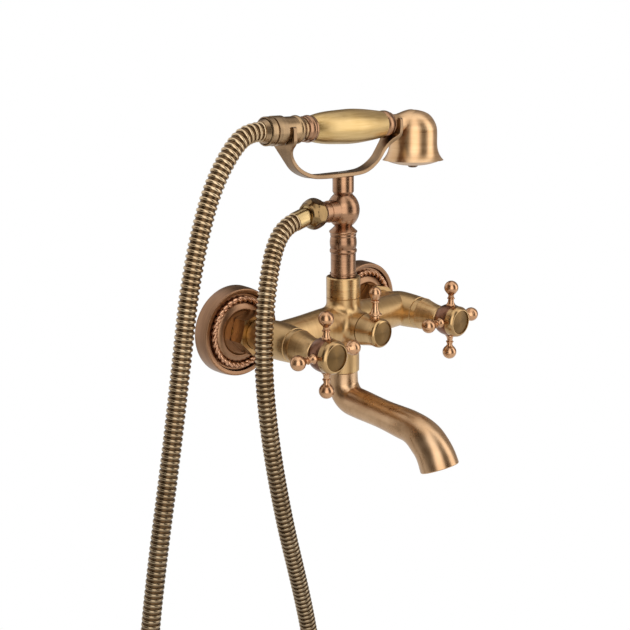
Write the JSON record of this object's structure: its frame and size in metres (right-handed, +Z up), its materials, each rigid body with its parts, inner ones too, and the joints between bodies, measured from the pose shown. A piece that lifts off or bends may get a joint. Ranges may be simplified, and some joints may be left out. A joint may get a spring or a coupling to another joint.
{
  "type": "wall-mounted bath mixer",
  "caption": "Wall-mounted bath mixer with cross handles, swivelling tub spout, diverter knob and telephone-style hand shower in a forked cradle.",
  "frame": {"origin": "on the wall's face, midway between the two valve axes at their height", "axes": "+X to the right of a person facing the wall, +Y into the wall, +Z up"},
  "size_m": [0.3223, 0.1788, 0.7083],
  "materials": {
    "body_brass": "antique brushed brass, warm gold brown",
    "column_bronze": "antique copper brass, brushed along the turning",
    "hub_bronze": "darker reddish antique bronze",
    "grip_brass": "olive gold brass with fine lengthwise brushing",
    "sleeve_brass": "olive gold brass with polished rims",
    "ring_brass": "polished gold brass",
    "disc_bronze": "dark bronze plate",
    "hose_brass": "beige antique brass strip, wound and crimped",
    "dark_nut": "dark antique brass with worn bright flats",
    "plain_brass": "machined brass, unfinished",
    "steel": "stainless steel",
    "rubber": "black rubber",
    "plastic": "pale acetal plastic"
  },
  "bodies": {
    "fixed_body": {"left_wall_union": "plain_brass", "right_wall_union": "plain_brass", "left_escutcheon": "column_bronze", "right_escutcheon": "column_bronze", "left_rope_ring": "column_bronze", "right_rope_ring": "column_bronze", "union_nuts": "dark_nut", "union_gaskets": "rubber", "inlet_tails": "plain_brass", "mixer_body": "body_brass", "left_bonnet_sleeve": "sleeve_brass", "right_bonnet_sleeve": "sleeve_brass", "left_valve_cartridge": "plain_brass", "right_valve_cartridge": "plain_brass", "diverter_cartridge": "plain_brass", "collar_nut": "body_brass", "retaining_ring": "plastic", "spout_grub_screw": "steel"},
    "left_handle": {"left_spindle": "plain_brass", "left_handle_hub": "hub_bronze", "left_handle_spokes": "column_bronze", "left_index_ring": "ring_brass", "left_index_disc": "disc_bronze", "left_handle_screw": "steel"},
    "right_handle": {"right_spindle": "plain_brass", "right_handle_hub": "hub_bronze", "right_handle_spokes": "column_bronze", "right_index_ring": "ring_brass", "right_index_disc": "disc_bronze", "right_handle_screw": "steel"},
    "diverter": {"diverter_spindle": "plain_brass", "diverter_knob": "hub_bronze", "diverter_finial": "column_bronze", "diverter_screw": "steel", "diverter_ring": "ring_brass", "diverter_disc": "disc_bronze"},
    "spout_body": {"spout": "body_brass", "spout_o_rings": "rubber", "flow_straightener": "plastic"},
    "riser": {"riser_column": "column_bronze", "riser_o_rings": "rubber", "cradle_post": "column_bronze", "cradle_yoke": "body_brass", "cradle_screw": "steel", "lower_hose_nut": "dark_nut", "lower_hose_ferrule": "sleeve_brass", "lower_hose_washer": "rubber", "shower_hose": "hose_brass"},
    "handset": {"upper_hose_nut": "sleeve_brass", "upper_hose_ferrule": "sleeve_brass", "upper_hose_washer": "rubber", "handset_tail": "body_brass", "handset_front_collar": "column_bronze", "handset_grip": "grip_brass", "handset_end_ring": "column_bronze", "handset_water_tube": "plain_brass", "shower_bell": "body_brass", "spray_plate": "body_brass", "spray_plate_screw": "steel"}
  },
  "joints": [
    {"name": "left_handle_turn", "type": "hinge", "parent": "fixed_body", "child": "left_handle", "pos_m": [-0.0694, -0.09, 0], "axis": [0, -1, 0], "range_deg": [0, 90]},
    {"name": "right_handle_turn", "type": "hinge", "parent": "fixed_body", "child": "right_handle", "pos_m": [0.0694, -0.09, 0], "axis": [0, 1, 0], "range_deg": [0, 90]},
    {"name": "diverter_turn", "type": "hinge", "parent": "fixed_body", "child": "diverter", "pos_m": [0, -0.08, 0], "axis": [0, 1, 0], "range_deg": [0, 90]},
    {"name": "spout_swivel", "type": "hinge", "parent": "fixed_body", "child": "spout_body", "pos_m": [0, -0.0495, -0.03], "axis": [0, 0, 1], "range_deg": [-60, 60]},
    {"name": "riser_swivel", "type": "hinge", "parent": "fixed_body", "child": "riser", "pos_m": [0, -0.0495, 0.03], "axis": [0, 0, 1], "range_deg": [-12, 12]},
    {"name": "handset_lift", "type": "slide", "parent": "riser", "child": "handset", "axis": [0, 0, 1], "range_m": [0, 0.04], "deforming": ["shower_hose"]}
  ]
}
